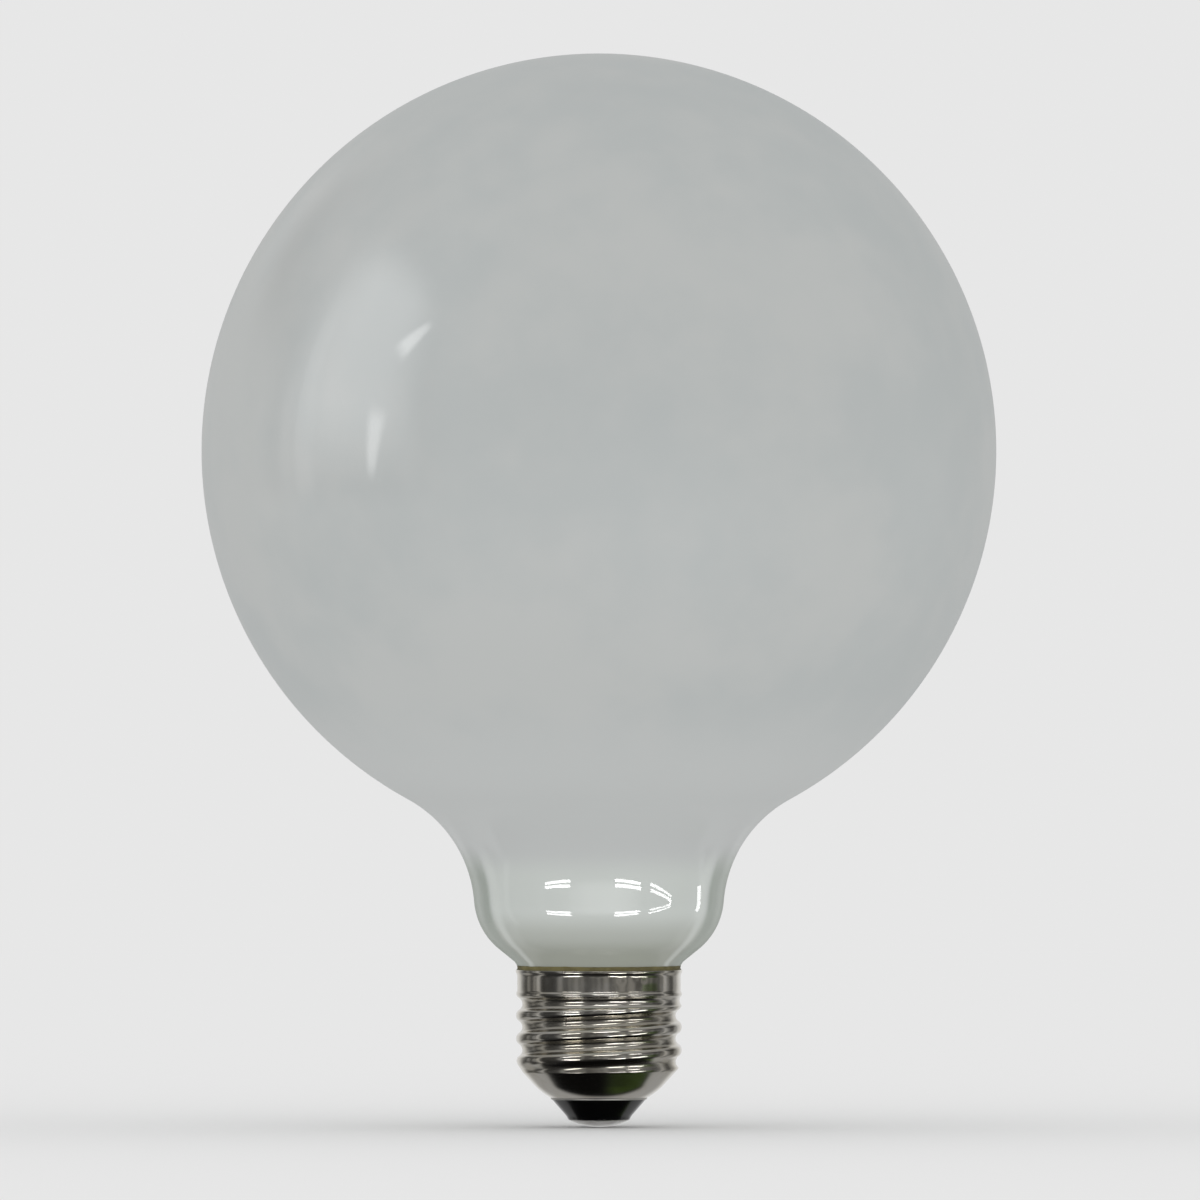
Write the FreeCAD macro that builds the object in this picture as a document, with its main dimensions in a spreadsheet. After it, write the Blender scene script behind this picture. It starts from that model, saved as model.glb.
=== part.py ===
# Opal globe bulb with a round-thread screw cap.
# Millimetres, +Z up the bulb's axis, origin at the tip of the centre contact.
import FreeCAD, Part
import math
import os
import re
import Sketcher

Vector = FreeCAD.Vector
doc = FreeCAD.newDocument("globe_bulb")

# Driving sizes
SIZES = {
    # centre contact, from the tip up
    "contact_dome": 1.1,
    "contact_plate": 0.1,
    "contact_radius": 4.85,
    "contact_taper": 0.1,
    "shank_radius": 1.5,
    "shank_reach": 0.7,
    # glass insulator
    "foot_height": 0.5,
    "foot_flare": 0.25,
    "insulator_cone": 2.7,
    "insulator_depth": 3.4,
    "insulator_rim": 1.0,
    "dish_depth": 1.6,
    "skirt_lip": 0.12,
    # screw shell, rolled from thin sheet
    "sheet": 0.3,
    "cap_height": 24.75,
    "skirt_radius": 7.55,
    "skirt_height": 5.35,
    "skirt_round": 1.2,
    "crest_radius": 13.05,
    "thread_depth": 1.0,
    "thread_pitch": 3.629,
    "crest_land": 0.24,
    "run_off_turns": 0.75,
    "fade_turns": 0.8,
    "fade_rise": 0.9,
    "fade_margin": 0.05,
    "collar_height": 3.65,
    "collar_step": 0.2,
    "rim_flare": 0.25,
    "rim_depth": 0.8,
    # basing cement
    "cement_depth": 9.75,
    "cement_room": 0.4,
    "bead_height": 0.7,
    "bead_inset": 0.05,
    # blown glass envelope
    "globe_radius": 62.5,
    "globe_rise": 69.965,
    "flare_radius": 20.0,
    "neck_radius": 19.7,
    "shoulder_radius": 10.73,
    "neck_cone_flare": 2.39,
    "neck_cone_height": 1.93,
    "mouth_rise": 1.25,
    "mouth_flare": 1.1,
    "mouth_height": 1.7,
    "throat_height": 1.3,
    "seal_taper": 4.5,
    "seal_height": 5.5,
    "seal_room": 1.35,
}

# Sizes that follow from the driving ones
DERIVED = {
    # heights up the cap
    "insulator_end": "contact_dome + contact_plate",
    "foot_end": "insulator_end + foot_height",
    "skirt_end": "foot_end + insulator_cone",
    "insulator_top": "skirt_end + insulator_depth",
    "shank_top": "insulator_top - dish_depth + shank_reach",
    "skirt_corner": "skirt_end + skirt_height",
    "collar_start": "cap_height - collar_height",
    "thread_top": "collar_start - thread_pitch * 0.48",
    "thread_turns": "(thread_top - skirt_corner) / thread_pitch + run_off_turns",
    "cement_start": "cap_height - cement_depth",
    "bead_top": "cap_height + bead_height",
    # walls of the shell
    "collar_radius": "crest_radius - collar_step",
    "collar_bore": "collar_radius - sheet",
    "root_radius": "crest_radius - thread_depth",
    "bore_radius": "root_radius - sheet",
    "skirt_slope": "(crest_radius - skirt_radius) / skirt_height",
    "skirt_angle": "atan(skirt_slope) / 1 deg",
    "skirt_inset": "sheet * sqrt(1 + skirt_slope ^ 2)",
    "skirt_bore": "skirt_radius - skirt_inset",
    "round_reach": "skirt_round * tan(skirt_angle * 0.5 deg)",
    "bore_start": "skirt_end + (bore_radius - skirt_bore) / skirt_slope",
    "insulator_top_radius": "skirt_bore + insulator_depth * skirt_slope",
    # rolled thread: equal crest and root arcs that meet halfway down the flank
    "thread_arc": "(thread_pitch ^ 2 / 4 + thread_depth ^ 2) / (4 * thread_depth)",
    "flank_angle": "asin(thread_pitch / (4 * thread_arc)) / 1 deg",
    # glass from the cap up to the widest part of the neck
    "throat_radius": "collar_bore - cement_room",
    "seal_radius": "bore_radius - seal_room",
    "mouth_radius": "throat_radius + mouth_flare",
    "mouth": "cap_height + mouth_rise",
    "throat_start": "mouth - mouth_height",
    "throat_end": "throat_start - throat_height",
    "seal_start": "throat_end - seal_taper",
    "seal_end": "seal_start - seal_height",
    "bead_inner": "throat_radius + (bead_top - throat_start) * mouth_flare / mouth_height",
    # a short cone leads from the mouth to the shoulder
    "shoulder_end_r": "mouth_radius + neck_cone_flare",
    "shoulder_end_z": "mouth + neck_cone_height",
    "shoulder_centre": "neck_radius - shoulder_radius",
    "neck_height": "shoulder_end_z + sqrt(shoulder_radius ^ 2 - (shoulder_end_r - shoulder_centre) ^ 2)",
    # the flare touches both the globe and the shoulder
    "globe_centre": "neck_height + globe_rise",
    "reach_globe": "globe_radius + flare_radius",
    "reach_shoulder": "shoulder_radius + flare_radius",
    "span": "sqrt(shoulder_centre ^ 2 + globe_rise ^ 2)",
    "along": "(reach_globe ^ 2 - reach_shoulder ^ 2 + span ^ 2) / (2 * span)",
    "aside": "sqrt(reach_globe ^ 2 - along ^ 2)",
    "flare_centre_r": "(along * shoulder_centre + aside * globe_rise) / span",
    "flare_centre_z": "globe_centre + (aside * shoulder_centre - along * globe_rise) / span",
    "flare_top_r": "flare_centre_r * globe_radius / reach_globe",
    "flare_top_z": "globe_centre + (flare_centre_z - globe_centre) * globe_radius / reach_globe",
    "flare_end_r": "shoulder_centre + (flare_centre_r - shoulder_centre) * shoulder_radius / reach_shoulder",
    "flare_end_z": "neck_height + (flare_centre_z - neck_height) * shoulder_radius / reach_shoulder",
    "overall_length": "globe_centre + globe_radius",
    # centre contact
    "contact_rim_radius": "contact_radius - contact_taper",
    "dome_radius": "(contact_rim_radius ^ 2 + contact_dome ^ 2) / (2 * contact_dome)",
}


def with_sheet(text):
    """The expression with each size read from the sheet."""
    names = sorted(list(SIZES) + list(DERIVED), key=len, reverse=True)
    return re.sub(r"\b(" + "|".join(names) + r")\b", r"Sizes.\1", text)


sizes = doc.addObject("Spreadsheet::Sheet", "Sizes")
for row, (name, amount) in enumerate(SIZES.items(), start=1):
    sizes.set(f"A{row}", name)
    sizes.set(f"B{row}", str(amount))
    sizes.setAlias(f"B{row}", name)
doc.recompute()
for row, (name, text) in enumerate(DERIVED.items(), start=len(SIZES) + 1):
    sizes.set(f"A{row}", name)
    sizes.set(f"B{row}", "=" + text)
    sizes.setAlias(f"B{row}", name)
    doc.recompute()


def value(text):
    """The expression's number now."""
    return float(sizes.evalExpression(with_sheet(text)))


def origin_feature(body, role):
    return next(item for item in body.Origin.OriginFeatures if item.Role == role)


def arc_through(start, end, radius, side):
    """An arc from start to end, bulging to the left of that direction for side 1 and to the right for -1."""
    middle = (start + end) * 0.5
    half = (end - start).Length / 2
    left = Vector(-(end - start).y, (end - start).x, 0).normalize()
    rise = radius - math.sqrt(max(radius ** 2 - half ** 2, 0.0))
    return Part.Arc(start, middle + left * (side * rise), end)


def outline(body, name, corners, side=1):
    """A closed sketch in the axial plane.

    Each corner is (radius, height), and a corner reached by an arc adds the arc's radius and side.
    """
    sketch = body.newObject("Sketcher::SketchObject", name)
    sketch.AttachmentSupport = [(origin_feature(body, "XZ_Plane"), "")]
    sketch.MapMode = "FlatFace"
    points = [Vector(side * value(corner[0]), value(corner[1]), 0) for corner in corners]
    count = len(corners)
    for index in range(count):
        start, end, target = points[index - 1], points[index], corners[index]
        if len(target) == 2:
            sketch.addGeometry(Part.LineSegment(start, end), False)
        else:
            sketch.addGeometry(arc_through(start, end, value(target[2]), target[3]), False)
    # the end of each piece of the outline that lies at its corner
    ends = []
    for index, target in enumerate(corners):
        if len(target) == 2:
            ends.append((1, 2))
        else:
            start_first = (sketch.getPoint(index, 1) - points[index - 1]).Length < 1e-4
            ends.append((1, 2) if start_first else (2, 1))
    for index in range(count):
        following = (index + 1) % count
        sketch.addConstraint(
            Sketcher.Constraint("Coincident", index, ends[index][1], following, ends[following][0])
        )
    for index, target in enumerate(corners):
        place = (index, ends[index][1])
        if target[0] == "0":
            sketch.addConstraint(Sketcher.Constraint("PointOnObject", *place, -2))
        else:
            bind(sketch, "DistanceX", place, points[index].x, target[0] if side == 1 else f"-({target[0]})")
        if target[1] == "0":
            sketch.addConstraint(Sketcher.Constraint("PointOnObject", *place, -1))
        else:
            bind(sketch, "DistanceY", place, points[index].y, target[1])
        if len(target) > 2:
            number = sketch.addConstraint(Sketcher.Constraint("Radius", index, value(target[2])))
            sketch.setExpression(f"Constraints[{number}]", with_sheet(target[2]))
    return sketch


def bind(sketch, kind, place, amount, text):
    """Holds a point of the sketch at a distance from the origin that the sheet gives."""
    number = sketch.addConstraint(Sketcher.Constraint(kind, -1, 1, *place, amount))
    sketch.setExpression(f"Constraints[{number}]", with_sheet(text))


def revolved(name, corners):
    """A body with one outline turned a full turn about the axis."""
    body = doc.addObject("PartDesign::Body", name)
    body.Label = name
    profile = outline(body, name + "_outline", corners)
    turned = body.newObject("PartDesign::Revolution", name + "_turned")
    turned.Profile = profile
    turned.ReferenceAxis = (profile, ["V_Axis"])
    turned.Angle = 360
    doc.recompute()
    return body


# Glass envelope: globe, flare, neck shoulder and the sealed tail inside the cap, one closed bulb
glass_globe = revolved("glass_globe", [
    ("0", "overall_length"),
    ("flare_top_r", "flare_top_z", "globe_radius", 1),
    ("flare_end_r", "flare_end_z", "flare_radius", -1),
    ("shoulder_end_r", "shoulder_end_z", "shoulder_radius", 1),
    ("mouth_radius", "mouth"),
    ("throat_radius", "throat_start"),
    ("throat_radius", "throat_end"),
    ("seal_radius", "seal_start"),
    ("seal_radius", "seal_end"),
    ("0", "seal_end"),
])

# Screw shell: thin collar with a flared rim, thread zone and conical skirt
screw_shell = revolved("screw_shell", [
    ("skirt_radius", "skirt_end"),
    (
        "crest_radius - round_reach * sin(skirt_angle * 1 deg)",
        "skirt_corner - round_reach * cos(skirt_angle * 1 deg)",
    ),
    ("crest_radius", "skirt_corner + round_reach", "skirt_round", -1),
    ("crest_radius", "collar_start"),
    ("collar_radius", "collar_start + sheet"),
    ("collar_radius", "cap_height - rim_depth"),
    ("collar_radius + rim_flare", "cap_height - rim_depth / 2"),
    ("collar_radius + rim_flare", "cap_height"),
    ("collar_bore + rim_flare", "cap_height"),
    ("collar_bore + rim_flare", "cap_height - rim_depth / 2"),
    ("collar_bore", "cap_height - rim_depth"),
    ("collar_bore", "collar_start + sheet * 2"),
    ("bore_radius", "collar_start"),
    ("bore_radius", "bore_start"),
    ("skirt_bore", "skirt_end"),
])


def groove(name, height, side):
    """The thread's groove in section, its arcs drawn as short flats, centred on the given height."""
    steps = 2
    edge = f"{height} + thread_pitch / 2 - crest_land / 2"
    corners = []
    for step in range(-steps, steps + 1):
        turn = f"({step} * flank_angle / {steps}) * 1 deg"
        corners.append((
            f"root_radius + thread_arc * (1 - cos({turn}))",
            f"{height} + thread_arc * sin({turn})",
        ))
    for step in range(steps - 1, 0, -1):
        turn = f"({step} * flank_angle / {steps}) * 1 deg"
        crest_r = f"crest_radius - thread_arc * (1 - cos({turn}))"
        crest_z = f"thread_pitch / 2 - thread_arc * sin({turn})"
        corners.append((crest_r, f"{height} + {crest_z}"))
        corners.insert(0, (crest_r, f"{height} - ({crest_z})"))
    rise = f"0.03 * (thread_arc * sin({turn}) - crest_land / 2) / (thread_arc * (1 - cos({turn})))"
    last = f"thread_pitch / 2 - crest_land / 2 + {rise}"
    corners.append(("crest_radius + 0.03", f"{height} + {last}"))
    corners.append(("crest_radius + 0.6", f"{height} + {last}"))
    corners.insert(0, ("crest_radius + 0.03", f"{height} - ({last})"))
    corners.insert(0, ("crest_radius + 0.6", f"{height} - ({last})"))
    return outline(screw_shell, name, corners, side)


def rolled(name, profile, turns, height, growth, down):
    """Cuts the groove along a right-hand helix from its section."""
    cut = screw_shell.newObject("PartDesign::SubtractiveHelix", name)
    cut.Profile = profile
    cut.ReferenceAxis = (profile, ["V_Axis"])
    cut.Mode = 3
    cut.setExpression("Turns", with_sheet(turns))
    cut.setExpression("Height", with_sheet(height))
    cut.setExpression("Growth", with_sheet(growth))
    cut.LeftHanded = False
    cut.Reversed = down
    before = screw_shell.Shape.Volume
    doc.recompute()
    if screw_shell.Shape.Volume > before - 1:
        raise RuntimeError(name + " cuts nothing")


rolled(
    "thread", groove("thread_section", "thread_top", -1),
    "thread_turns", "thread_turns * thread_pitch", "0", True,
)
rolled(
    "thread_fade", groove("fade_section", "thread_top", -1),
    "fade_turns", "fade_rise", "(thread_depth + fade_margin) / fade_turns", False,
)

# Basing cement between glass and shell, with its bead over the rim
basing_cement = revolved("basing_cement", [
    ("bead_inner", "bead_top"),
    ("throat_radius", "throat_start"),
    ("throat_radius", "throat_end"),
    ("seal_radius", "seal_start"),
    ("seal_radius", "cement_start"),
    ("bore_radius", "cement_start"),
    ("bore_radius", "collar_start"),
    ("collar_bore", "collar_start + sheet * 2"),
    ("collar_bore", "cap_height - rim_depth"),
    ("collar_bore + rim_flare", "cap_height - rim_depth / 2"),
    ("collar_bore + rim_flare", "cap_height"),
    ("collar_radius + rim_flare - bead_inset", "cap_height"),
    ("collar_radius + rim_flare - bead_inset", "cap_height + bead_height / 2"),
])

# Black glass insulator, poured into the skirt and around the contact's shank
insulator = revolved("insulator", [
    ("contact_radius", "insulator_end"),
    ("contact_radius + foot_flare", "foot_end"),
    ("skirt_radius - skirt_lip", "skirt_end"),
    ("skirt_bore", "skirt_end"),
    ("insulator_top_radius", "insulator_top"),
    ("insulator_top_radius - insulator_rim", "insulator_top"),
    ("shank_radius", "insulator_top - dish_depth"),
    ("shank_radius", "insulator_end"),
])

# Centre contact: domed plate with its rim and shank
centre_contact = revolved("centre_contact", [
    ("0", "0"),
    ("contact_rim_radius", "contact_dome", "dome_radius", -1),
    ("contact_radius", "insulator_end"),
    ("shank_radius", "insulator_end"),
    ("shank_radius", "shank_top"),
    ("0", "shank_top"),
])

PIECES = [glass_globe, screw_shell, basing_cement, insulator, centre_contact]

doc.recompute()
failed = [item.Name for item in doc.Objects if {"Invalid", "Error"} & set(item.State)]
failed += [body.Label for body in PIECES if body.Shape.isNull() or not body.Shape.isValid()]
if failed:
    raise RuntimeError("not built: " + ", ".join(failed))
os.makedirs("parts", exist_ok=True)
for body in PIECES:
    body.Shape.exportStep(f"parts/{body.Label}.step")
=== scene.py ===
import math

import bmesh
import bpy
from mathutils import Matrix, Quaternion, Vector, noise


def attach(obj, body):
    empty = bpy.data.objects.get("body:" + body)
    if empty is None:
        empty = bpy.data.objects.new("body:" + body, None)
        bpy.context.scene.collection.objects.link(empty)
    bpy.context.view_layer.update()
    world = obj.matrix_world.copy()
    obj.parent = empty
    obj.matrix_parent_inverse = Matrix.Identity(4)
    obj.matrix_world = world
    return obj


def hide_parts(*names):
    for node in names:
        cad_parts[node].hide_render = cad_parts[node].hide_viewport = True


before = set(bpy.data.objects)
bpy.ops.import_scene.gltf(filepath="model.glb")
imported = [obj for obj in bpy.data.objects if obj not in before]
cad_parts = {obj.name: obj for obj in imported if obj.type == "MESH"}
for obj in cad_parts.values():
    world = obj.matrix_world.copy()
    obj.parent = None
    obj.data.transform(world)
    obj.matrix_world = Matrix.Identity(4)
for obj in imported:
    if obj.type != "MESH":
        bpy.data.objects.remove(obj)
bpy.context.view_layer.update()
mm = 0.001


# Glass envelope: one blown bulb of clear glass, coated opal white on its inside. It was turned in a
# mould while hot, so it is round all over, and its mouth is sealed and drawn down into the cap.

globe_radius = 62.47
globe_centre = 106.3
flare_centre = (39.603, 33.926)
flare_radius = 20.03
shoulder_centre = (8.964, 36.297)
shoulder_end = (15.635, 27.931)
mouth_radius = 13.25
mouth_height = 26.0
# the throat and the sealed tail inside the cap
throat_radius = 12.15
throat_top = 24.3
throat_foot = 23.0
seal_radius = 10.4
seal_top = 18.5
seal_foot = 13.0
# edges that turn more sharply than this stay sharp
crease = math.radians(40)


def straight_corner(outline, last, radius, height):
    """Draws a straight run from the last corner of an outline to the next one."""
    corner = outline.verts.new((radius * mm, 0, height * mm))
    outline.edges.new((last, corner))
    return corner


def swept_corner(outline, last, radius, height, centre_radius, centre_height, steps):
    """Draws an arc about its centre from the last corner of an outline to the next one."""
    start = math.atan2(last.co.x / mm - centre_radius, last.co.z / mm - centre_height)
    end = math.atan2(radius - centre_radius, height - centre_height)
    turn = (end - start + math.pi) % math.tau - math.pi
    swept = bmesh.ops.spin(
        outline, geom=[last], cent=(centre_radius * mm, 0, centre_height * mm),
        axis=(0, 1, 0), angle=turn, steps=steps,
    )
    return swept["geom_last"][0]


def drawn_outline(corners, closed):
    """An outline in the axial plane, its corners rounded by the third number of each where there is one.

    A corner of five numbers ends an arc, and adds the arc's centre and its steps.
    """
    outline = bmesh.new()
    first = outline.verts.new((corners[0][0] * mm, 0, corners[0][1] * mm))
    last = first
    for corner in corners[1:]:
        if len(corner) == 5:
            last = swept_corner(outline, last, *corner)
        else:
            last = straight_corner(outline, last, corner[0], corner[1])
    if closed:
        outline.edges.new((last, first))
    outline.verts.ensure_lookup_table()
    rounds = {}
    for corner in corners:
        if len(corner) == 3:
            place = Vector((corner[0] * mm, 0, corner[1] * mm))
            nearest = min(outline.verts, key=lambda vert: (vert.co - place).length)
            rounds.setdefault(corner[2], []).append(nearest)
    for size, verts in rounds.items():
        bmesh.ops.bevel(
            outline, geom=verts, offset=size * mm, offset_type="OFFSET", segments=4,
            profile=0.5, affect="VERTICES", clamp_overlap=True, material=-1,
        )
    return outline


def turned_round(outline, segments):
    """Turns an outline a full turn about the axis and closes its seam and its poles."""
    bmesh.ops.spin(
        outline, geom=outline.verts[:] + outline.edges[:], cent=(0, 0, 0),
        axis=(0, 0, 1), angle=math.tau, steps=segments, use_merge=True,
    )
    bmesh.ops.remove_doubles(outline, verts=outline.verts[:], dist=0.000001)
    bmesh.ops.recalc_face_normals(outline, faces=outline.faces[:])
    return outline


def finished_piece(shape, name, node):
    """Makes the piece from its mesh, smooth but for its creases, and puts it in its node's place."""
    for face in shape.faces:
        face.smooth = True
    for edge in shape.edges:
        if len(edge.link_faces) == 2 and edge.calc_face_angle() > crease:
            edge.smooth = False
    mesh = bpy.data.meshes.new(name)
    shape.to_mesh(mesh)
    shape.free()
    piece = bpy.data.objects.new(name, mesh)
    bpy.context.scene.collection.objects.link(piece)
    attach(piece, "root")
    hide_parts(node)
    return piece


class Amount:
    """A number that varies over a surface. Working with it adds the material's Math nodes."""

    def __init__(self, finish, socket):
        self.finish = finish
        self.socket = socket

    def worked(self, operation, first, second):
        return self.finish.node("ShaderNodeMath", {"operation": operation}, {0: first, 1: second})

    def __add__(self, other):
        return self.worked("ADD", self, other)

    def __sub__(self, other):
        return self.worked("SUBTRACT", self, other)

    def __mul__(self, other):
        return self.worked("MULTIPLY", self, other)

    def __radd__(self, other):
        return self.worked("ADD", other, self)

    def __rsub__(self, other):
        return self.worked("SUBTRACT", other, self)

    def __rmul__(self, other):
        return self.worked("MULTIPLY", other, self)

    def __pow__(self, other):
        return self.worked("POWER", self, other)


class Finish:
    """A material, or the light of the room or of a lamp, made node by node."""

    def __init__(self, owner):
        owner.use_nodes = True
        self.owner = owner
        self.tree = owner.node_tree
        self.tree.nodes.clear()

    def node(self, kind, settings, sockets, output=0):
        made = self.tree.nodes.new(kind)
        for setting, choice in settings.items():
            setattr(made, setting, choice)
        for socket, value in sockets.items():
            if isinstance(value, Amount):
                self.tree.links.new(value.socket, made.inputs[socket])
            else:
                made.inputs[socket].default_value = value
        return Amount(self, made.outputs[output]) if made.outputs else None

    def place(self, output="Object"):
        return self.node("ShaderNodeTexCoord", {}, {}, output)

    def split(self, vector):
        first = self.node("ShaderNodeSeparateXYZ", {}, {0: vector})
        outputs = first.socket.node.outputs
        return [Amount(self, outputs[index]) for index in range(3)]

    def step(self, value, start, end):
        """0 before start and 1 after end, with a smooth rise between them."""
        return self.node(
            "ShaderNodeMapRange", {"interpolation_type": "SMOOTHSTEP"},
            {"Value": value, "From Min": start, "From Max": end},
        )

    def mixed(self, share, first, second):
        """The first colour, turning to the second as share goes from 0 to 1."""
        return self.node("ShaderNodeMix", {"data_type": "RGBA"}, {0: share, 6: first, 7: second}, 2)

    def cloud(self, vector, scale, detail=2.0, rough=0.5):
        """Soft uneven patches between 0 and 1."""
        return self.node(
            "ShaderNodeTexNoise", {},
            {"Vector": vector, "Scale": scale, "Detail": detail, "Roughness": rough},
        )

    def between(self, share, first, second):
        """The first number, turning to the second as share goes from 0 to 1."""
        return first + share * (second - first)

    def bumped(self, height, depth, strength):
        return self.node(
            "ShaderNodeBump", {}, {"Height": height, "Distance": depth, "Strength": strength},
        )

    def shader(self, **sockets):
        named = {name.replace("_", " "): value for name, value in sockets.items()}
        return self.node("ShaderNodeBsdfPrincipled", {}, named)

    def ended(self, shader):
        """Ends the material in this shader."""
        self.node("ShaderNodeOutputMaterial", {}, {"Surface": shader})
        return self.owner


def opal_glass():
    opal = Finish(bpy.data.materials.new("opal_glass"))
    place = opal.place()
    along, across, height = opal.split(place)
    # the inner coating is a touch uneven, in broad soft patches with a finer drift in them
    patches = opal.cloud(place, 26.0, 3.0, 0.55)
    drift = opal.cloud(place, 140.0, 2.0, 0.6)
    thickness = opal.step(patches * 0.8 + drift * 0.2, 0.36, 0.64)
    coat = opal.mixed(thickness, (0.443, 0.466, 0.463, 1), (0.482, 0.496, 0.488, 1))
    # from the flare down the coat is painted lighter, a painted lift against the shade that the neck and
    # cap put on the lower globe
    flare = opal.step(height, 70.0 * mm, 54.0 * mm)
    coat = opal.mixed(flare, coat, (0.497, 0.513, 0.508, 1))
    # below the flare a whiter band is painted round the neck, a painted highlight where the front light
    # falls on it
    painted_highlight_band = opal.step(height, 44.0 * mm, 39.0 * mm)
    coat = opal.mixed(painted_highlight_band, coat, (0.545, 0.575, 0.55, 1))
    # below the band the coat is painted greyer and darker towards the mouth, partly a thinner coating
    # and partly painted shade where the neck faces down to the cap
    thinned_and_shaded = opal.step(height, 34.5 * mm, 30.0 * mm)
    coat = opal.mixed(thinned_and_shaded, coat, (0.42, 0.44, 0.405, 1))
    mouth = opal.step(height, 30.5 * mm, 27.0 * mm)
    coat = opal.mixed(mouth, coat, (0.335, 0.35, 0.305, 1))
    neck = opal.step(height, 52.0 * mm, 45.0 * mm)
    # one side of the globe has a wiped, glossier patch, which takes the window's glow
    wiped = opal.step(along, -22.0 * mm, -29.0 * mm) * opal.step(along, -57.0 * mm, -47.0 * mm)
    wiped = wiped * opal.step(height, 96.0 * mm, 102.0 * mm) * opal.step(height, 157.0 * mm, 144.0 * mm)
    wiped = wiped * opal.step(across, -6.0 * mm, -15.0 * mm)
    # the gloss fades where the glass is seen edge-on
    edge_on = opal.node("ShaderNodeLayerWeight", {}, {"Blend": 0.5}, "Facing")
    gloss = (neck * 0.95 + wiped) * opal.step(edge_on, 0.88, 0.60)
    ripple = opal.cloud(place, 55.0, 1.0)
    skin = {
        "Roughness": 0.48 + drift * 0.06,
        "IOR": 1.5,
        "Specular_IOR_Level": 0.25,
        "Coat_Weight": gloss,
        "Coat_Roughness": 0.03,
        "Normal": opal.bumped(ripple, 0.0006, 0.12),
    }
    white = opal.shader(Base_Color=coat, **skin)
    # seen edge-on, the neck's clear wall stands outside the coating, and is a little green
    squash = {0: skin["Normal"], 1: (1, 1, 0.25)}
    flatter = opal.node("ShaderNodeVectorMath", {"operation": "MULTIPLY"}, squash)
    level = opal.node("ShaderNodeVectorMath", {"operation": "NORMALIZE"}, {0: flatter})
    facing = opal.node("ShaderNodeLayerWeight", {}, {"Blend": 0.5, "Normal": level}, "Facing")
    below = opal.step(height, 45.0 * mm, 39.0 * mm)
    wall = opal.step(facing, 0.48, 0.55) * below
    clear = opal.shader(Base_Color=(0.31, 0.343, 0.305, 1), **skin)
    glass = opal.node("ShaderNodeMixShader", {}, {0: wall * 0.8, 1: white, 2: clear})
    # the coating's edge shows as a thin pale line just inside the wall
    rim = opal.step(facing, 0.37, 0.43) * opal.step(facing, 0.50, 0.45) * below
    pale_line = opal.shader(Base_Color=(0.62, 0.65, 0.62, 1), **skin)
    return opal.ended(opal.node("ShaderNodeMixShader", {}, {0: rim * 0.5, 1: glass, 2: pale_line}))


def tangent_point(centre, next_centre, reach):
    """The point at that distance from one arc's centre on the way to the next arc's centre."""
    return Vector(centre).lerp(Vector(next_centre), reach / math.dist(centre, next_centre))


flare_top = tangent_point((0, globe_centre), flare_centre, globe_radius)
flare_end = tangent_point(flare_centre, shoulder_centre, flare_radius)
glass = drawn_outline([
    (0, globe_centre + globe_radius),
    (*flare_top, 0, globe_centre, 110),
    (*flare_end, *flare_centre, 30),
    (*shoulder_end, *shoulder_centre, 26),
    (mouth_radius, mouth_height),
    (throat_radius, throat_top, 0.3),
    (throat_radius, throat_foot, 0.4),
    (seal_radius, seal_top, 1.0),
    (seal_radius, seal_foot, 0.8),
    (0, seal_foot),
], closed=False)
envelope = finished_piece(turned_round(glass, 256), "glass_envelope", "glass_globe")
envelope.data.materials.append(opal_glass())


# Basing cement: a phenolic paste baked hard between the glass and the cap, which holds the two
# together. The olive-brown bead that swelled out over the cap's rim is all of it that shows.

bead_top = 25.45
cement_foot = 15.0
# the shell's inside, which the cement fills up to the glass
rim_height = 24.75
rim_bore = 12.8
flare_foot = 24.35
collar_end = 23.95
collar_start = 21.1
collar_bore = 12.55
collar_bore_foot = 21.7
bore_radius = 11.75
# the bead sags by up to this much in places
bead_sag = 0.16


def cement_bead():
    cement = drawn_outline([
        (12.895, bead_top),
        (throat_radius, throat_top),
        (throat_radius, throat_foot),
        (seal_radius, seal_top),
        (seal_radius, cement_foot),
        (bore_radius, cement_foot),
        (bore_radius, collar_start),
        (collar_bore, collar_bore_foot),
        (collar_bore, collar_end),
        (rim_bore, flare_foot),
        (rim_bore, rim_height),
        (12.98, rim_height),
        (12.85, 24.95, 0.1),
        (12.81, 25.2, 0.1),
    ], closed=True)
    turned_round(cement, 256)
    # it squeezed out a little more in some places than in others
    for vert in cement.verts:
        if vert.co.z > (rim_height + 0.05) * mm:
            turn = math.atan2(vert.co.y, vert.co.x)
            spot = Vector((math.cos(turn) * 4, math.sin(turn) * 4, 0))
            sag = 0.5 + 0.5 * noise.noise(spot) + 0.25 * noise.noise(spot * 4)
            vert.co.z -= min(max(sag, 0.0), 1.0) * bead_sag * mm
    return cement


def baked_cement():
    paste = Finish(bpy.data.materials.new("basing_cement"))
    place = paste.place()
    tint = paste.cloud(place, 420.0, 3.0, 0.6)
    grains = paste.cloud(place, 2600.0, 2.0, 0.7)
    colour = paste.mixed(paste.step(tint, 0.3, 0.7), (0.105, 0.088, 0.026, 1), (0.175, 0.148, 0.050, 1))
    colour = paste.mixed(paste.step(grains, 0.55, 0.8) * 0.5, colour, (0.09, 0.075, 0.03, 1))
    return paste.ended(paste.shader(
        Base_Color=colour,
        Roughness=0.62 + grains * 0.2,
        Normal=paste.bumped(grains * 0.6 + tint * 0.4, 0.00012, 0.5),
    ))


bead = finished_piece(cement_bead(), "cement_bead", "basing_cement")
bead.data.materials.append(baked_cement())


# Screw shell: thin brass sheet, drawn to a cup, rolled with the round thread, and nickel plated.
# Its rim is flared to take the cement, and its foot is a cone that holds the black insulator.

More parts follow.
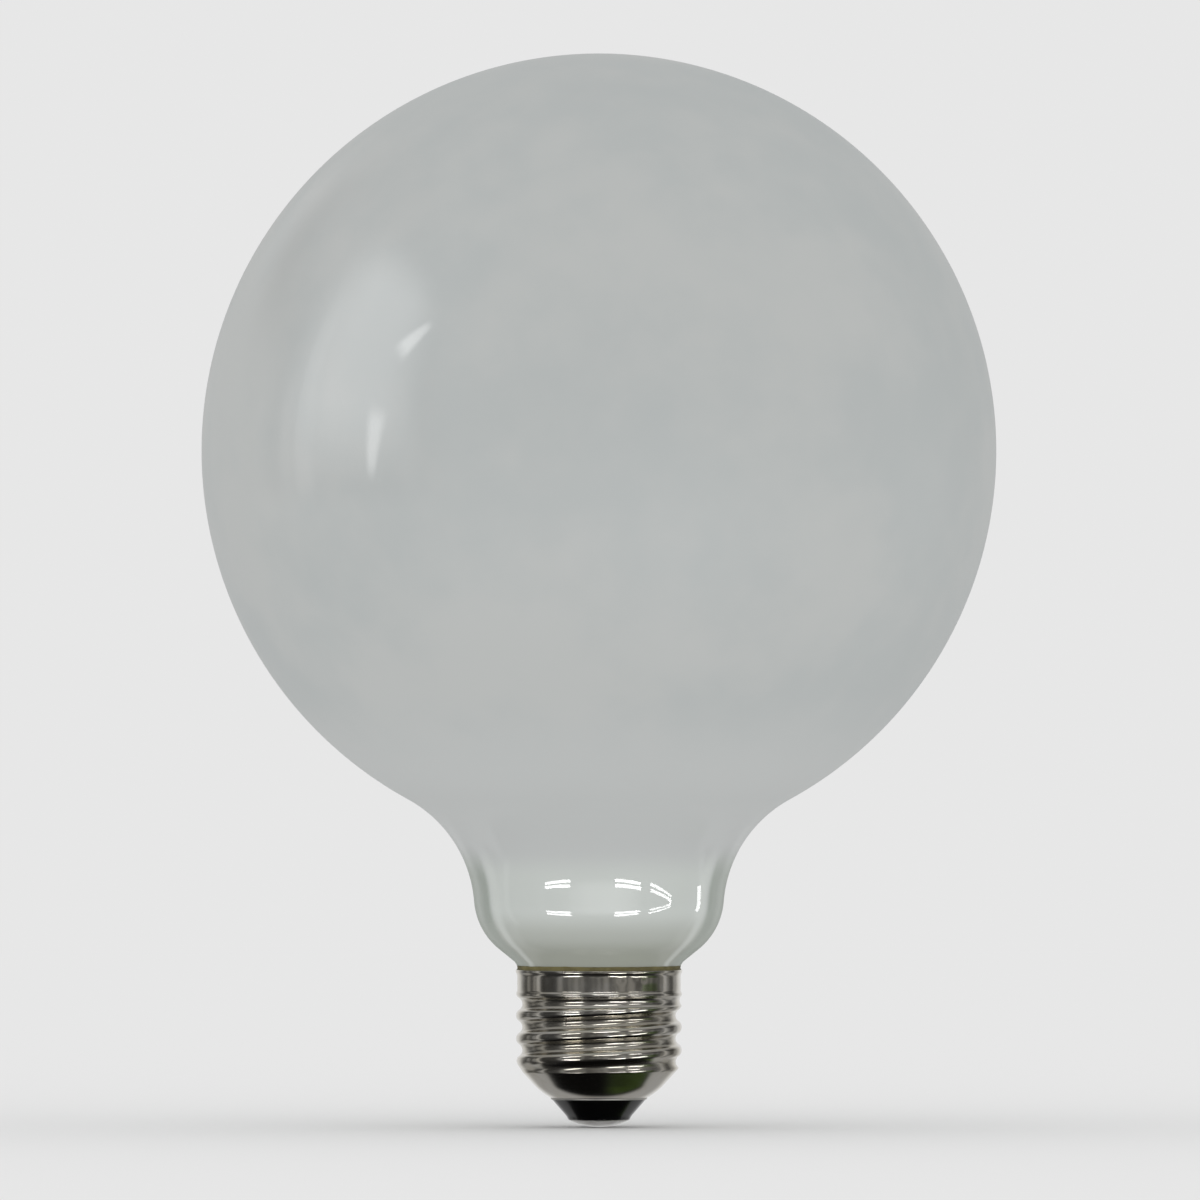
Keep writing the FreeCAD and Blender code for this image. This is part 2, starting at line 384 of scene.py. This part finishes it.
crest_radius = 13.05
root_radius = 12.05
pitch = 3.629
thread_depth = crest_radius - root_radius
thread_arc = (pitch ** 2 / 4 + thread_depth ** 2) / (4 * thread_depth)
groove_start = 19.358
groove_turns = 3.40
fade_turns = 0.8
fade_rise = 0.9
fade_margin = 0.05
# stands for the wall's depth where no groove is near
no_groove = 99.0
skirt_foot = 4.4
crest_foot = 9.75
collar_foot = 21.4
collar_radius = 12.85
rim_radius = 13.1
# the collar's bulge and waviness, from its lower end up
bulge_start = 21.3
bulge_height = 2.7
bulge_depth = 0.03
wave_depth = 0.025
# how widely the groove's edge is rounded into the wall beside it
edge_blend = 0.12
# dents from handling: degrees to the right of the front, height, reach and depth
collar_dents = [(15.5, 23.2, 0.55, 0.06), (27.0, 23.5, 0.35, 0.04), (33.5, 23.2, 0.35, 0.04)]


def groove_radius(offset):
    """The rolled wall's radius at this height above or below the middle of a groove."""
    offset = min(abs(offset), pitch / 2)
    if offset < pitch / 4:
        return root_radius + thread_arc - math.sqrt(thread_arc ** 2 - offset ** 2)
    return crest_radius - thread_arc + math.sqrt(thread_arc ** 2 - (pitch / 2 - offset) ** 2)


def rolled_radius(turn, height):
    """The rolled wall's radius at this angle and height, from the nearest turns of the groove."""
    depth = no_groove
    for lap in range(-5, 2):
        travel = (turn - math.pi) / math.tau + lap
        if -groove_turns <= travel <= 0:
            offset = height - groove_start - pitch * travel
            if abs(offset) < pitch / 2:
                depth = min(depth, groove_radius(offset))
        elif 0 < travel <= fade_turns:
            offset = height - groove_start - fade_rise * travel / fade_turns
            if abs(offset) < pitch / 2:
                rise = (thread_depth + fade_margin) * travel / fade_turns
                depth = min(depth, groove_radius(offset) + rise)
    return depth


def softly_least(first, second, blend):
    """The smaller of two numbers, with a rounded change from one to the other."""
    share = min(max(0.5 + 0.5 * (second - first) / blend, 0.0), 1.0)
    return second + (first - second) * share - blend * share * (1 - share)


def rolled_shell():
    shell = drawn_outline([
        (7.50, 4.34, 0.1),
        (7.58, 4.60, 0.1),
        (7.62, 4.64),
        (10.108, 6.549, 3.16, 13.028, 12),
        (crest_radius, crest_foot, 1.2),
        (crest_radius, collar_start, 0.18),
        (collar_radius, collar_foot, 0.18),
        (collar_radius, collar_end, 0.3),
        (rim_radius, flare_foot, 0.2),
        (rim_radius, rim_height, 0.08),
        (rim_bore, rim_height, 0.08),
        (rim_bore, flare_foot),
        (collar_bore, collar_end),
        (collar_bore, collar_bore_foot),
        (bore_radius, collar_start),
        (bore_radius, 8.9),
        (7.12, skirt_foot),
        (7.30, 4.34),
    ], closed=True)
    # the heights and the least radius that pick out each long run, and the rings that it gets to take
    # the thread, the thread's end on the skirt and the collar's waviness
    runs = [(8.85, 22.0, 12.8, 214), (3.5, 10.1, 11.5, 22), (20.5, 24.9, 12.8, 30)]
    for low, high, least, cuts in runs:
        run = [
            edge for edge in shell.edges
            if edge.calc_length() > 0.8 * mm
            and all(low * mm < vert.co.z < high * mm for vert in edge.verts)
            and max(vert.co.x for vert in edge.verts) > least * mm
        ]
        bmesh.ops.subdivide_edges(shell, edges=run, cuts=cuts)
    turned_round(shell, 264)
    for vert in shell.verts:
        turn = math.atan2(vert.co.y, vert.co.x) % math.tau
        radius = math.hypot(vert.co.x, vert.co.y) / mm
        height = vert.co.z / mm
        if radius > 12.0 and 8.0 < height < collar_start + 0.4:
            rolled = softly_least(radius, rolled_radius(turn, height), edge_blend)
            vert.co.x *= rolled / radius
            vert.co.y *= rolled / radius
        elif radius > 12.8 and height < 24.0:
            # the plain collar bulges a little, and is wavy from the rolls, most at its middle height
            middle = math.sin(math.pi * (height - bulge_start) / bulge_height)
            spot = Vector((math.cos(turn) * 2.6, math.sin(turn) * 2.6, height * 0.35))
            dip = (noise.noise(spot) * wave_depth - bulge_depth) * max(middle, 0)
            for dent_turn, dent_height, reach, depth in collar_dents:
                aside = (turn - math.radians(270 + dent_turn)) * collar_radius
                dip += depth * math.exp(-(aside ** 2 + (height - dent_height) ** 2) / reach ** 2)
            vert.co.x *= 1 - dip / radius
            vert.co.y *= 1 - dip / radius
    return shell


def nickel_plate():
    nickel = Finish(bpy.data.materials.new("nickel_plate"))
    place = nickel.place()
    along, across, height = nickel.split(place)
    patches = nickel.cloud(place, 210.0, 3.0, 0.6)
    specks = nickel.cloud(place, 2400.0, 2.0, 0.6)
    # fine lines that the rolls and the drawing die left round the sheet
    level = nickel.node("ShaderNodeCombineXYZ", {}, {0: along * 0.02, 1: across * 0.02, 2: height})
    lines = nickel.cloud(level, 5200.0, 2.0, 0.5)
    # the plate is darker and duller in the roots of the thread
    reach = (along * along + across * across) ** 0.5
    roots = nickel.step(reach, 12.7 * mm, 12.1 * mm) * nickel.step(height, 8.0 * mm, 10.0 * mm)
    bright = nickel.step(patches, 0.35, 0.65)
    plate = nickel.mixed(bright, (0.60, 0.565, 0.49, 1), (0.68, 0.655, 0.60, 1))
    plate = nickel.mixed(roots * 0.3, plate, (0.50, 0.46, 0.36, 1))
    plate = nickel.mixed(nickel.step(specks, 0.68, 0.8) * 0.25, plate, (0.42, 0.37, 0.29, 1))
    # the sheet's cut edge at the skirt's foot is only burnished, so it is paler and duller
    cut = nickel.step(height, 4.68 * mm, 4.62 * mm)
    plate = nickel.mixed(cut, plate, (0.80, 0.78, 0.74, 1))
    return nickel.ended(nickel.shader(
        Base_Color=plate,
        Metallic=1.0,
        Roughness=0.09 + patches * 0.06 + lines * 0.05 + roots * 0.06 + cut * 0.35,
        Normal=nickel.bumped(patches, 0.00002, 0.08),
    ))


shell = finished_piece(rolled_shell(), "rolled_shell", "screw_shell")
shell.data.materials.append(nickel_plate())


# Insulator: black glass, poured hot into the shell's cone round the contact's shank, so that its
# outside is a smooth fire-polished cone and its inside a shallow dish.

dish_top = 7.8
# the contact that it holds
contact_radius = 4.85
contact_top = 1.2
shank_radius = 1.5


def poured_insulator():
    return turned_round(drawn_outline([
        (contact_radius, contact_top, 0.06),
        (5.1, 1.7, 0.25),
        (7.43, skirt_foot, 0.05),
        (7.12, skirt_foot),
        (10.61, dish_top),
        (9.6, dish_top, 0.3),
        (shank_radius, 6.2),
        (shank_radius, contact_top),
    ], closed=True), 192)


def black_glass():
    black = Finish(bpy.data.materials.new("black_glass"))
    place = black.place()
    flow = black.cloud(place, 300.0, 3.0, 0.6)
    dust = black.cloud(place, 3200.0, 2.0, 0.6)
    colour = black.mixed(flow, (0.0004, 0.0004, 0.0006, 1), (0.0016, 0.0016, 0.002, 1))
    colour = black.mixed(black.step(dust, 0.66, 0.8) * 0.3, colour, (0.05, 0.048, 0.044, 1))
    return black.ended(black.shader(
        Base_Color=colour,
        Roughness=0.1 + flow * 0.1,
        IOR=1.54,
        Specular_IOR_Level=0.92,
        Normal=black.bumped(flow, 0.0001, 0.25),
    ))


cone = finished_piece(poured_insulator(), "poured_insulator", "insulator")
cone.data.materials.append(black_glass())


# Centre contact: a small plate stamped from tinned brass with a domed face. Its shank goes up
# through the insulator, where the lead wire is soldered to it.

dome_radius = 10.806
dome_edge = 4.75
dome_height = 1.1
shank_top = 6.9


def stamped_contact():
    return turned_round(drawn_outline([
        (0, 0),
        (dome_edge, dome_height, 0, dome_radius, 20),
        (contact_radius, contact_top, 0.03),
        (shank_radius, contact_top),
        (shank_radius, shank_top, 0.2),
        (0, shank_top),
    ], closed=False), 128)


def tinned_brass():
    tin = Finish(bpy.data.materials.new("tinned_brass"))
    place = tin.place()
    frost = tin.cloud(place, 900.0, 4.0, 0.65)
    grain = tin.cloud(place, 5200.0, 2.0, 0.6)
    colour = tin.mixed(tin.step(frost, 0.3, 0.7), (0.43, 0.42, 0.40, 1), (0.57, 0.56, 0.54, 1))
    return tin.ended(tin.shader(
        Base_Color=colour,
        Metallic=0.95,
        Roughness=0.17 + frost * 0.12,
        Normal=tin.bumped(frost * 0.6 + grain * 0.4, 0.00006, 0.5),
    ))


contact = finished_piece(stamped_contact(), "stamped_contact", "centre_contact")
contact.data.materials.append(tinned_brass())


# Floor: a plain pale matt board, in the tone of the room behind it. The bulb stands on it, a hair above
# its surface, so that the two don't meet.

pale = 0.80
board_radius = 1.5
board_gap = 0.02


def floor_board():
    board = bmesh.new()
    bmesh.ops.create_circle(board, cap_ends=True, radius=board_radius, segments=128)
    bmesh.ops.translate(board, verts=board.verts[:], vec=(0, 0, -board_gap * mm))
    mesh = bpy.data.meshes.new("floor_board")
    board.to_mesh(mesh)
    board.free()
    return bpy.data.objects.new("floor_board", mesh)


def matt_board():
    board = Finish(bpy.data.materials.new("matt_board"))
    place = board.place()
    along, across = board.split(place)[:2]
    reach = (along * along + across * across) ** 0.5
    fibres = board.cloud(place, 900.0, 3.0, 0.6)
    near = board.step(reach, 0.5, 0.15)
    colour = board.mixed(fibres * near * 0.06, (pale, pale, pale, 1), (0.70, 0.70, 0.69, 1))
    return board.ended(board.shader(Base_Color=colour, Roughness=1.0, Specular_IOR_Level=0.0))


floor = floor_board()
bpy.context.scene.collection.objects.link(floor)
floor.data.materials.append(matt_board())
# it only takes the bulb's shadow, and the even light reaches the bulb from below as well
floor.visible_diffuse = False
floor.visible_glossy = False
floor.visible_shadow = False


# Room: even white light from all round, so that colours show as they are. What the gloss mirrors is
# the pale backdrop behind, a grey ceiling, a low grey table behind and beside the bulb, dim sides
# with a few upright things, and the unlit side of the room in front.

def studio_room():
    room = Finish(bpy.data.worlds.new("studio_room"))
    room.owner.cycles.sampling_method = "NONE"
    # the direction looked in: to the right, to the back and up
    along, across, height = room.split(room.place("Generated"))
    camera = room.node("ShaderNodeLightPath", {}, {}, "Is Camera Ray")
    outputs = camera.socket.node.outputs
    mirrored = Amount(room, outputs["Is Glossy Ray"]) + Amount(room, outputs["Is Transmission Ray"])
    low = room.step(height, -0.1, -0.5)
    behind = room.step(across - low * 0.17, 0.62, 0.93)
    table = room.step(across, 0.38, 0.56) * room.step(height, -0.18, -0.42)
    aside = room.node("ShaderNodeMath", {"operation": "ABSOLUTE"}, {0: along})
    table_corner = room.step(aside + across, 0.92, 1.02) * room.step(height, -0.50, -0.62)
    ceiling = room.step(height, 0.30, 0.62)
    level = room.step(height, -0.62, -0.14) * room.step(height, 0.36, 0.10)
    # upright things stand round the dim part of the room, so that a mirror shows streaks there
    upright = room.node("ShaderNodeCombineXYZ", {}, {0: along, 1: across, 2: height * 0.15})
    streaks = room.step(room.cloud(upright, 4.6, 2.0, 0.6), 0.40, 0.62)
    to_left = room.step(along, 0.0, -0.2)
    doorway = to_left * room.step(across, -0.55, -0.45) * room.step(across, 0.03, -0.01)
    # the floor in front is unlit, and a little less dark further off
    far_floor = room.step(height, -0.84, -0.66)
    tone = 0.004 + far_floor * 0.022 + level * (0.065 + streaks * 0.20) * (1 - doorway * 0.8)
    # two bright posts stand beside the bulb, the left one at the doorway's edge
    left_post = to_left * room.step(across, 0.03, 0.07) * room.step(across, 0.17, 0.13)
    to_right = room.step(along, 0.0, 0.2)
    right_post = to_right * room.step(across, 0.22, 0.26) * room.step(across, 0.37, 0.33)
    posts = (left_post + right_post) * room.step(height, -0.62, -0.5) * room.step(height, 0.62, 0.5)
    tone = room.between(posts, tone, 0.5)
    tone = room.between(ceiling, tone, 0.34)
    tone = room.between(table, tone, 0.38)
    tone = room.between(table_corner, tone, 0.38)
    tone = room.between(behind, tone, pale)
    # the unlit floor in front has an olive cast to the right, and there is an olive patch beside it
    olive = mirrored * room.step(height, -0.35, -0.75) * room.step(along, 0.0, 0.25)
    olive = olive * room.step(across, 0.45, 0.32) * room.step(across - along * along, -0.12, -0.02)
    olive = olive * (1 - table_corner)
    patch = room.step(along, 0.80, 0.86) * room.step(across, -0.46, -0.38)
    patch = patch * room.step(across, 0.06, -0.04)
    patch = patch * room.step(height, -0.01, -0.04) * room.step(height, -0.5, -0.35)
    olive = olive + mirrored * patch * 0.6
    tint = room.mixed(olive, (1, 1, 1, 1), (1.2, 1.9, 0.5, 1))
    tone = (tone + olive * 0.025) * (1 - patch * 0.7)
    strength = room.between(mirrored, 1.0, tone)
    strength = room.between(camera, strength, pale)
    light = room.node("ShaderNodeBackground", {}, {"Color": tint, "Strength": strength})
    room.node("ShaderNodeOutputWorld", {}, {"Surface": light})
    return room.owner


bpy.context.scene.world = studio_room()


# Lamps: rows of tubes low and high in front, one tube to the right and a tall curtained window to the
# left. Only the gloss shows them: the bars on the neck, the dashes on the thread, the globe's glow.

# in metres: the row's distance in front, the height of the middle of the neck, and the places of the
# window and of the gaps in its curtain, which stand a little in front of it
row_distance = 1.2
neck_height = 0.035
window_place = -0.35
gap_place = -0.349


def soft_panel(name, place, towards, wide, tall, power, roll=0):
    """A rectangular panel at its place, in metres, turned towards a point and rolled by some degrees."""
    lamp = bpy.data.lights.new(name, "AREA")
    lamp.shape = "RECTANGLE"
    lamp.size = wide
    lamp.size_y = tall
    lamp.energy = power * math.pi * wide * tall
    panel = bpy.data.objects.new(name, lamp)
    panel.location = place
    panel.rotation_mode = "QUATERNION"
    rolled = Quaternion((0, 0, 1), math.radians(roll))
    panel.rotation_quaternion = (place - towards).to_track_quat("Z", "Y") @ rolled
    panel.visible_camera = False
    panel.visible_diffuse = False
    bpy.context.scene.collection.objects.link(panel)
    return panel


glass_only = bpy.data.collections.new("glass_only")
glass_only.objects.link(envelope)
cap_only = bpy.data.collections.new("cap_only")
for cap_piece in (bead, shell, cone, contact):
    cap_only.objects.link(cap_piece)


def row_tube(name, azimuth, drop, wide, tall, power, receivers, roll=0):
    """A tube in the row, at its angle from the camera's side and its drop below the neck."""
    along = row_distance * math.tan(math.radians(azimuth))
    place = Vector((along, -row_distance, neck_height - drop))
    panel = soft_panel(name, place, Vector((along, 0, neck_height)), wide, tall, power, roll)
    panel.light_linking.receiver_collection = receivers


# side, angle, the two drops, width, height, power for the glass and for the cap, and roll of each pair
for side, azimuth, drops, wide, tall, glass_power, cap_power, roll in [
    ("left", -41.5, (0.68, 0.81), 0.86, 0.075, 18, 7, 8),
    ("middle", 29, (0.60, 0.73), 0.66, 0.075, 18, 7, -2),
    ("right", 64, (0.64, 0.84), 2.10, 0.10, 13, 5.8, 0),
]:
    for index, drop in enumerate(drops, start=1):
        # the glass mirrors little and the metal much, so each has its own tubes there
        name = f"tubes_{side}_{index}"
        row_tube(name + "_glass", azimuth, drop, wide, tall, glass_power, glass_only, roll)
        row_tube(name + "_cap", azimuth, drop, wide, tall, cap_power, cap_only)

# an upper row of single tubes, which only the thread's flanks show
for side, azimuth, wide in [("left", -43.5, 1.02), ("middle", 10.6, 0.81), ("right", 55.4, 1.19)]:
    row_tube(f"upper_tube_{side}", azimuth, -0.55, wide, 0.12, 6, cap_only)

glow_place = Vector((0.10, -row_distance, -0.26))
glow = soft_panel("front_glow", glow_place, Vector((0.10, 0, neck_height)), 2.1, 0.9, 1.5)
tube_place = Vector((1.336, 0.382, -0.116))
tube = soft_panel("tube_right", tube_place, Vector((0, 0, neck_height)), 0.12, 0.44, 8)


def left_opening(name, along, across, height, wide, tall, power, roll=0):
    """An opening at the left of the globe, facing straight to the right."""
    place = Vector((along, across, height))
    return soft_panel(name, place, Vector((0, across, height)), wide, tall, power, roll)


window = left_opening("tall_window", window_place, -0.12, 0.27, 0.40, 0.46, 1.9)
upper_gap = left_opening("upper_gap", gap_place, -0.230, 0.322, 0.06, 0.14, 4, roll=-32)
lower_gap = left_opening("lower_gap", gap_place, -0.175, 0.118, 0.07, 0.13, 3, roll=172)


def curtained(opening, taper):
    """Softens the light towards the opening's edge, and narrows it towards one end by the taper."""
    curtain = Finish(opening.data)
    spread = curtain.node("ShaderNodeNewGeometry", {}, {}, "Parametric")
    first, second = curtain.split(spread)[:2]
    aside = curtain.node("ShaderNodeMath", {"operation": "ABSOLUTE"}, {0: first - 0.5})
    half = 0.5 - 0.5 * taper * second
    share = curtain.step(aside, half, half * 0.2)
    share = share * curtain.step(second, 0.0, 0.3) * curtain.step(second, 1.0, 0.7)
    light = curtain.node("ShaderNodeEmission", {}, {"Strength": share})
    curtain.node("ShaderNodeOutputLight", {}, {"Surface": light})


for opening, taper in [(window, 0.0), (upper_gap, 0.6), (lower_gap, 0.7), (glow, 0.0)]:
    curtained(opening, taper)

# only the glass mirrors these: the window stands close to the globe, and the cap has no view of it
for panel in (window, upper_gap, lower_gap, glow, tube):
    panel.light_linking.receiver_collection = glass_only


# Camera: level with the middle of the bulb and far back, with a long lens, as in the photograph. Its
# lens and place are set so that the bulb fills the frame as it does there.

camera_distance = 3.0
frame_middle = (0.00017, 0.08286)
lens_length = 572.4

camera = bpy.data.objects.new("camera", bpy.data.cameras.new("camera"))
camera.data.sensor_width = 36
camera.data.lens = lens_length
camera.data.clip_end = 20
camera.location = (frame_middle[0], -camera_distance, frame_middle[1])
camera.rotation_euler = (math.radians(90), 0, 0)
bpy.context.scene.collection.objects.link(camera)
bpy.context.scene.camera = camera
bpy.context.scene.view_settings.view_transform = "Standard"
